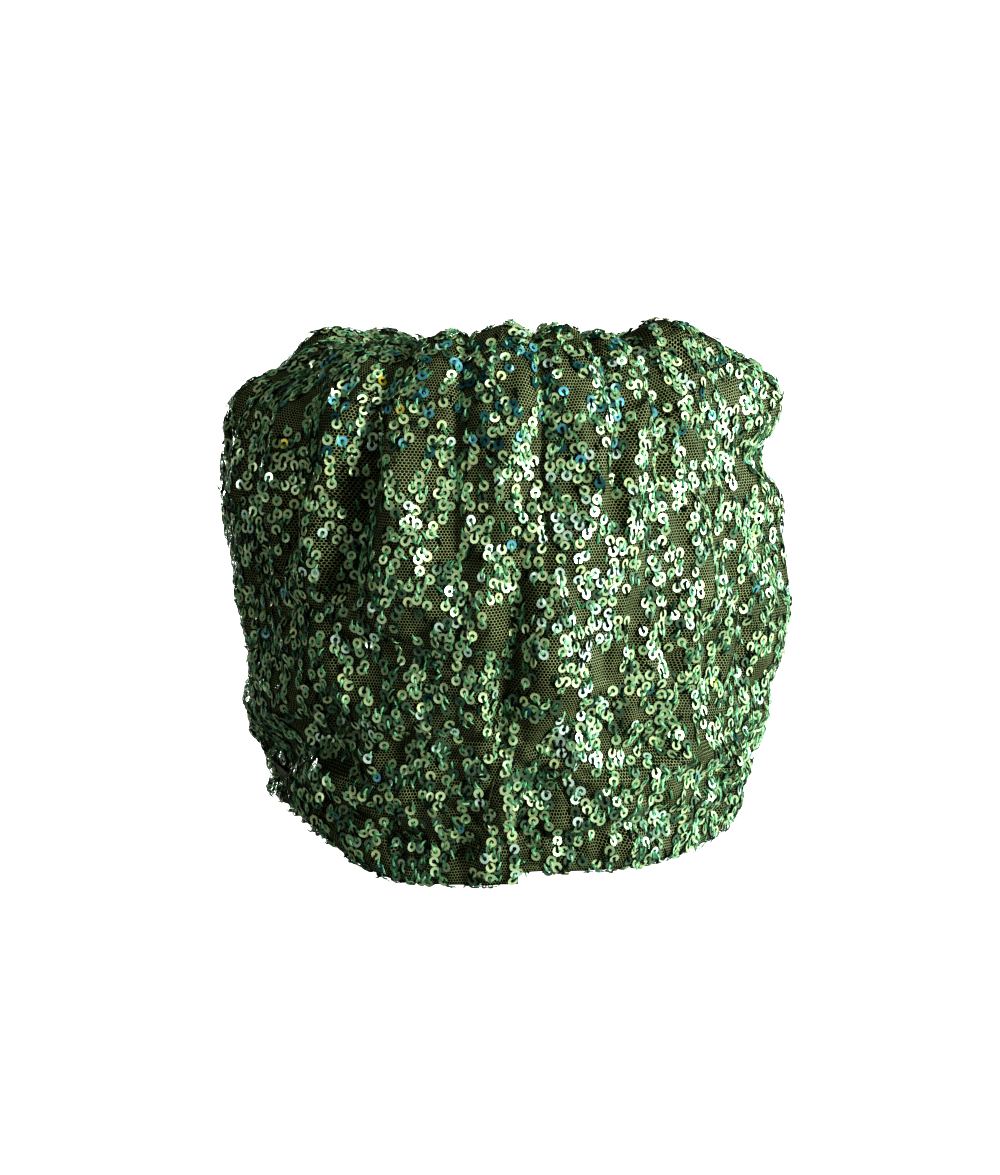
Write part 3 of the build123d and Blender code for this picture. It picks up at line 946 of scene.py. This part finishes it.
def strand(points, radius, sides=4):
    """Tube along a short path in the (x, z) plane of its own frame, closed at both ends."""
    verts, faces = [], []
    pts = np.array(points)
    tang = unit(np.gradient(pts, axis=0))
    for k, (p, t) in enumerate(zip(pts, tang)):
        side = np.array([0.0, 1.0, 0.0])
        up = np.cross(t, side)
        r = radius * (0.55 if k in (0, len(pts) - 1) else 1.0)
        for q in range(sides):
            w = 2 * math.pi * (q + 0.5) / sides
            verts.append(p + side * math.cos(w) * r + up * math.sin(w) * r)
    for k in range(len(pts) - 1):
        for q in range(sides):
            w = (q + 1) % sides
            faces.append((k * sides + q, k * sides + w, (k + 1) * sides + w, (k + 1) * sides + q))
    faces.append((3, 2, 1, 0))
    e = (len(pts) - 1) * sides
    faces.append((e, e + 1, e + 2, e + 3))
    return np.array(verts), np.array(faces)


def pair_of(points, radius, spread):
    """Two strands side by side, drawn together at their ends."""
    verts, faces = [], []
    for sign in (-1, 1):
        pts = np.array(points, float)
        bow = np.sin(np.linspace(0, math.pi, len(pts)))
        pts[:, 1] = sign * spread * (0.55 + 0.45 * bow)
        v, f = strand(pts, radius)
        faces.append(f + sum(len(x) for x in verts))
        verts.append(v)
    return np.concatenate(verts), np.concatenate(faces)


# the stitch that comes up through a sequin's hole, over its rim and down into the net
STRAND_R, STRAND_SPREAD = 0.17, 0.19
OVER_RIM = [(0.0, 0, -0.35), (0.25, 0, 0.24), (1.0, 0, 0.40), (2.1, 0, 0.28), (3.1, 0, -0.60)]
thread_of = rng.choice(4, N_RINGS, p=[0.36, 0.26, 0.19, 0.19])
thread_objects = scatter("sequin_threads", pair_of(OVER_RIM, STRAND_R, STRAND_SPREAD), ring_c, frame_axes,
                         np.ones(N_RINGS), thread_of, THREADS, sector)

# stitches between the sequins: short paired dashes that run along the chains, with no sequin on them
dash_u = spots[:, 0] + rng.normal(0, 1.6, len(spots))
dash_s = np.clip(spots[:, 1] + rng.normal(0, 1.6, len(spots)), LOW_S + 2, HIGH_S - 2)
wanted = rng.random(len(spots)) < 0.66 * np.interp(dash_s, [10, 22, 150, 235], [1.5, 1, 1, 0.35])
p, n, up, _ = on_panels(wrapped(dash_u[wanted]), dash_s[wanted])
N_DASHES = len(p)
turn = rng.normal(0, 0.5, N_DASHES)
across = unit(np.cross(up, n))
dash_x = up * np.cos(turn)[:, None] + across * np.sin(turn)[:, None]
dash_axes = np.stack([dash_x, np.cross(n, dash_x), n], 1)
DASH = [(-1.7, 0, -0.25), (-1.1, 0, 0.16), (0.0, 0, 0.27), (1.1, 0, 0.16), (1.7, 0, -0.25)]
DASH_LIFT = 0.12
# The dashes take the deep and shadow tones more often: painted shade between the sequins.
dash_objects = scatter("stitch_dashes", pair_of(DASH, STRAND_R, STRAND_SPREAD), p + n * DASH_LIFT, dash_axes,
                       rng.uniform(0.75, 1.25, N_DASHES), rng.choice(4, N_DASHES, p=[0.20, 0.20, 0.24, 0.36]),
                       THREADS, sector_of(p))

# ---------------------------------------------------------------- inner sewing
def inner_point(theta, s, depth):
    """A point on a layer inside the panels, which takes part of the folds outside it."""
    r = np.clip(np.interp(s, inner_s, np.arange(len(inner_s))), 0, len(inner_s) - 1.001)
    c = np.interp(theta, ring_theta, np.arange(RING))
    i, j = r.astype(int), c.astype(int)
    f = between(folds, i, j, r - i, c - j, wrap=RING)
    point, normal = base(theta, s)
    return point + normal * (np.minimum(f, 0) + np.maximum(f, 0) * 0.5 - depth)[..., None]


def inner_axes(theta, s, depth):
    """Place, run and facing of a stitch on the wearer's side of an inner layer, running round the cap."""
    here = inner_point(theta, s, depth)
    round_ = unit(inner_point(theta + 0.01, s, depth) - here)
    up = unit(inner_point(theta, s + 0.8, depth) - here)
    inward = unit(np.cross(up, round_))
    inward *= -np.sign((inward * base(theta, s)[1]).sum(-1, keepdims=True))
    return here, round_, inward


SEWN = pair_of([(-1.6, 0, -0.22), (-1.1, 0, 0.14), (0.0, 0, 0.24), (1.1, 0, 0.14), (1.6, 0, -0.22)], 0.15, 0.13)


def stitches(name, here, x, z, thread=DEEP_SHADE_THREAD):
    """Visible stitches that run along x and face z, as one piece."""
    count = len(here)
    sizes = rng.uniform(0.92, 1.08, count)
    axes = np.stack([x, np.cross(z, x), z], 1)
    return scatter(name, SEWN, here, axes, sizes, np.full(count, thread), THREADS, np.zeros(count, int))[0]


ROUND_STITCHES = 72
BAND_FACE = 6.5  # depth of the sweatband's inner face
HEM_SEAM, BAND_SEAM = np.full(ROUND_STITCHES, 5.0), np.full(ROUND_STITCHES, 23.6)
turns = np.linspace(-math.pi, math.pi, ROUND_STITCHES + 1)[:-1] + rng.normal(0, 0.004, ROUND_STITCHES)
hem_sewing = stitches("hem_running_stitches", *inner_axes(turns, HEM_SEAM, BAND_FACE), GREEN_THREAD)
turns = turns + math.pi / ROUND_STITCHES
band_sewing = stitches("forehead_band_stitches", *inner_axes(turns, BAND_SEAM, BAND_FACE))

# ladder stitches down the middle of the back
BACK_PITCH, BACK_STITCHES = 8.0, 15
back_s = height_to_s([BACK_PITCH * (k + 1) for k in range(BACK_STITCHES)])
p, n, up = sample(-1, np.full(BACK_STITCHES, -half_round + BESIDE), back_s)
back_sewing = stitches("back_ladder_stitches", p + n * 0.1, unit(np.cross(up, n)), n)

# tacks over the free edge of the lap
tack_s = height_to_s([5.0, 11.0, 17.0, 30.0, 43.0])
reach_at = lip_offsets()[0].max() * lap_strength(tack_s)
p, n, up = sample(-1, np.full(5, -BESIDE), tack_s)
tack_x = unit(np.tile([1.0, 0.25, 0.0], (5, 1)))
tack_z = unit(n - tack_x * (n * tack_x).sum(1, keepdims=True))
p = p + toward_left(reach_at - 0.4) + np.array([0, 0.2, 0])
tack_sewing = stitches("lap_tacks", p, tack_x, tack_z)

# the crown's closing: thread wound round the eye, the covered disc under it and the disc's stitches
eye = [panels[k]["P"][-1] for k in (-1, 1)]
eye_z = float(np.mean([e[:, 2].mean() for e in eye]))
wind = np.linspace(0, 3 * 2 * math.pi, 181)
wind_r = 2.6 + 0.25 * np.sin(2.3 * wind)
coil = np.stack([wind_r * np.cos(wind), wind_r * np.sin(wind), eye_z - 0.9 + 0.30 * wind / math.pi], -1)


def tube(name, path, radius, material):
    """A round tube along a path, narrowed and closed at its ends."""
    sides = 8
    tang = unit(np.gradient(path, axis=0))
    side = unit(np.cross(tang, [0, 0, 1.0]))
    up = np.cross(side, tang)
    w = 2 * math.pi * np.arange(sides) / sides
    ring = side[:, None] * np.cos(w)[:, None] + up[:, None] * np.sin(w)[:, None]
    taper = np.ones(len(path))
    taper[[0, -1]] = 0.4
    points = path[:, None] + ring * radius * taper[:, None, None]
    faces = grid_faces(len(path), sides, wrap=True)
    cap = np.array([(0, 1, 2, 3), (0, 3, 4, 7), (4, 5, 6, 7)])
    faces = np.concatenate([faces, cap[:, ::-1], cap + (len(path) - 1) * sides])
    return put_mesh(name, points.reshape(-1, 3), faces, [material])


gather_thread = tube("crown_winding_thread", coil, 0.38, THREADS[GREEN_THREAD])

DISC_R, DISC_RINGS, DISC_ROUND = 16.8, 26, 96
top_points = np.array([v.co for v in lining_top.data.vertices]) / MM
near = np.hypot(top_points[:, 0], top_points[:, 1]) < 18
disc_top = float(top_points[near, 2].min()) - 0.25
q = np.linspace(0, 1, DISC_RINGS)
outline_r = np.concatenate([DISC_R * q, DISC_R * q[::-1]])
rim = np.sqrt(np.clip(1 - q**6, 0, 1))
upper = disc_top - 0.6 + 0.6 * rim
under = disc_top - 0.6 - (0.5 + 0.9 * (1 - q[::-1] ** 2)) * rim[::-1]
w = 2 * math.pi * np.arange(DISC_ROUND) / DISC_ROUND
rr, ww = np.meshgrid(outline_r, w, indexing="ij")
pleat = 0.16 * np.cos(24 * ww + 0.8 * np.sin(3 * ww)) * smooth(rr, 5, DISC_R)
is_under = np.arange(2 * DISC_RINGS)[:, None] >= DISC_RINGS
zz = np.concatenate([upper, under])[:, None] - is_under * np.abs(pleat)
disc_points = np.stack([(rr + 0.02) * np.cos(ww), (rr + 0.02) * np.sin(ww), zz], -1)
disc_uv = np.stack([rr * np.cos(ww), rr * np.sin(ww)], -1).reshape(-1, 2) * MM
stay_disc = put_mesh("crown_covered_disc", disc_points, grid_faces(2 * DISC_RINGS, DISC_ROUND, wrap=True),
                     [LINING], uv=disc_uv)
SEWN_R, UNDER_DISC = 12.5, 1.75
w = 2 * math.pi * np.arange(12) / 12 + rng.normal(0, 0.03, 12)
outwards = np.stack([np.cos(w), np.sin(w), 0 * w], -1)
here = outwards * SEWN_R + np.array([0, 0, disc_top - UNDER_DISC])
disc_sewing = stitches("crown_disc_stitches", here, outwards, np.tile([0, 0, -1.0], (12, 1)))

# care label: a satin tab with hemmed ends that curls a little, drawn on the plane its solid lies in
low, high = (np.array(v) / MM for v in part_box("care_label"))
top = np.array([0.0, high[1], high[2]])
foot = np.array([0.0, low[1], low[2]])
down = unit(foot - top)
if down[2] > 0:
    down = -down
face = unit(np.cross(down, [1.0, 0, 0]))
label_long = float(np.linalg.norm(foot - top))
HALF_LABEL, HALF_TAPE = 8.0, 0.14
L_ROWS, L_COLS = 40, 26
along, across = np.linspace(0, label_long, L_ROWS), np.linspace(-HALF_LABEL, HALF_LABEL, L_COLS)
v, h = np.meshgrid(along, across, indexing="ij")
hung_from = (top + foot) / 2 - down * label_long / 2
curl = 0.55 * (v / label_long) ** 2 * (1 + 0.5 * (h / HALF_LABEL) ** 2)
curl = curl + 0.12 * np.sin(h * 0.55 + 0.6) * v / label_long
fold = 0.12 * (bump(v, 1.6, 1.2) + bump(v, label_long - 1.4, 1.0))
inwards = face * (np.sign((face * -hung_from).sum()) or 1.0)
front = hung_from + down * v[..., None] + np.array([1.0, 0, 0]) * h[..., None]
front = front + inwards * (curl + fold + HALF_TAPE)[..., None]
back = front - inwards * (2 * HALF_TAPE + fold[..., None])
sheet_faces = grid_faces(L_ROWS, L_COLS)
number = np.arange(L_ROWS * L_COLS).reshape(L_ROWS, L_COLS)
edge = np.concatenate([number[0], number[1:, -1], number[-1, -2::-1], number[-2:0:-1, 0]])
following = np.roll(edge, -1)
total = number.size
sides = np.stack([edge, following, following + total, edge + total], -1)
label_faces = np.concatenate([sheet_faces, sheet_faces[:, ::-1] + total, sides])
label_uv = np.stack([h, v], -1).reshape(-1, 2) * MM
label = put_mesh("care_label_tab", np.concatenate([front, back]), label_faces, [LABEL],
                 uv=np.concatenate([label_uv, label_uv]))
marks = toward_left(np.array([-6.0, -2.0, 2.0, 6.0]))
here = hung_from + down * 1.5 + marks + inwards * 0.36
label_sewing = stitches("care_label_stitches", here, np.tile([1.0, 0, 0], (4, 1)), np.tile(inwards, (4, 1)))

# ---------------------------------------------------------------- floor, light and camera
TARGET = Vector((-0.0004, 0.0, 0.0870))
ELEVATION = math.radians(6.5)
DISTANCE = 1.5


def area_light(name, place, size, power, colour=(1, 1, 1)):
    """A square light that looks at the middle of the cap."""
    lamp = bpy.data.lights.new(name, "AREA")
    lamp.energy, lamp.size, lamp.color = power, size, colour
    obj = bpy.data.objects.new(name, lamp)
    obj.location = place
    obj.rotation_euler = (Vector((0, 0, 0.09)) - Vector(place)).to_track_quat("-Z", "Y").to_euler()
    bpy.context.scene.collection.objects.link(obj)


def build_stage():
    """A pale floor that fades to white, soft lights and the camera."""
    half = 6000.0
    floor = put_mesh("floor", [(-half, -half, 0), (half, -half, 0), (half, half, 0), (-half, half, 0)],
                     [(0, 1, 2, 3)], [])
    m, nodes, links, bsdf = new_material("floor_pale")
    bsdf.inputs["Base Color"].default_value = (0.5, 0.5, 0.5, 1)
    bsdf.inputs["Roughness"].default_value = 0.9
    kinds = ("Emission", "MixShader", "LightPath", "AddShader")
    glow, mixed, ray, add = (nodes.new("ShaderNode" + kind) for kind in kinds)
    place = nodes.new("ShaderNodeNewGeometry")
    reach = vector_node(nodes, links, "LENGTH", place.outputs["Position"])
    far = nodes.new("ShaderNodeMapRange")
    far.interpolation_type = "SMOOTHSTEP"
    links.new(reach, far.inputs["Value"])
    for socket, value in (("From Min", 0.12), ("From Max", 0.42), ("To Min", 0.92), ("To Max", 1.0)):
        far.inputs[socket].default_value = value
    links.new(far.outputs["Result"], glow.inputs["Strength"])
    links.new(bsdf.outputs[0], add.inputs[0])
    links.new(glow.outputs[0], add.inputs[1])
    links.new(ray.outputs["Is Camera Ray"], mixed.inputs["Fac"])
    links.new(bsdf.outputs[0], mixed.inputs[1])
    links.new(add.outputs[0], mixed.inputs[2])
    links.new(mixed.outputs[0], nodes["Material Output"].inputs["Surface"])
    floor.data.materials.append(m)
    world = bpy.data.worlds.new("studio")
    bpy.context.scene.world = world
    world.use_nodes = True
    nodes, links = world.node_tree.nodes, world.node_tree.links
    nodes.clear()
    kinds = ("OutputWorld", "LightPath", "Background", "Background", "MixShader")
    out, path, dim, white, mix = (nodes.new("ShaderNode" + kind) for kind in kinds)
    dim.inputs["Strength"].default_value = 0.035
    white.inputs["Color"].default_value = (1, 1, 1, 1)
    dim.inputs["Color"].default_value = (1, 1, 1, 1)
    links.new(path.outputs["Is Camera Ray"], mix.inputs["Fac"])
    links.new(dim.outputs[0], mix.inputs[1])
    links.new(white.outputs[0], mix.inputs[2])
    links.new(mix.outputs[0], out.inputs["Surface"])
    area_light("key", (1.16, -1.04, 0.36), 0.46, 27)
    area_light("side", (1.5, 0.1, 0.35), 0.45, 12, (0.80, 0.93, 1.0))
    area_light("top", (0.1, -0.6, 1.5), 0.4, 7)
    area_light("fill", (-1.4, -0.7, 0.3), 0.6, 3.2)
    area_light("back", (-0.75, 1.5, 0.10), 0.36, 12)
    cam = bpy.data.cameras.new("camera")
    cam.sensor_fit, cam.sensor_height, cam.lens = "VERTICAL", 36.0, 135.0
    cam.clip_start, cam.clip_end = 0.05, 30.0
    obj = bpy.data.objects.new("camera", cam)
    obj.location = TARGET + DISTANCE * Vector((0, -math.cos(ELEVATION), math.sin(ELEVATION)))
    obj.rotation_euler = (TARGET - obj.location).to_track_quat("-Z", "Y").to_euler()
    bpy.context.scene.collection.objects.link(obj)
    bpy.context.scene.camera = obj
    view = bpy.context.scene.view_settings
    view.view_transform, view.look = "Standard", "Very High Contrast"


build_stage()

# ---------------------------------------------------------------- what stands for what
CAP = "cap"
STANDS_FOR = (
    (outer[-1], "right_outer_panel", "sequinned_net"),
    (outer[1], "left_outer_panel", "sequinned_net"),
    (backing, "backing_layer", "backing_cloth"),
    (wad_side, "wadding_side", "wadding"),
    (wad_crown, "wadding_crown", "wadding"),
    (lining_wall, "lining_side", "lining_cloth"),
    (lining_top, "lining_crown", "lining_cloth"),
    (elastic, "hem_elastic", "elastic"),
    (sweatband, "sweatband", "sweatband_cloth"),
    (stay_disc, "crown_stay_disc", "lining_cloth"),
    (gather_thread, "crown_gather_thread", "thread"),
    (disc_sewing, "crown_stitches", "thread"),
    (hem_sewing, "hem_stitches", "thread"),
    (band_sewing, "sweatband_stitches", "thread"),
    (back_sewing, "back_seam_stitches", "thread"),
    (tack_sewing, "front_tack_stitches", "thread"),
)
ON_LABEL = ((label, "care_label", "label_tape"), (label_sewing, "label_stitches", "label_thread"))
for body, pieces in ((CAP, STANDS_FOR), ("label", ON_LABEL)):
    for obj, node, slot in pieces:
        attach(obj, body)
        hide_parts(node)

# the sequins, their threads and the stitch dashes go on the cap too
for obj in sequin_objects + thread_objects + dash_objects:
    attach(obj, CAP)
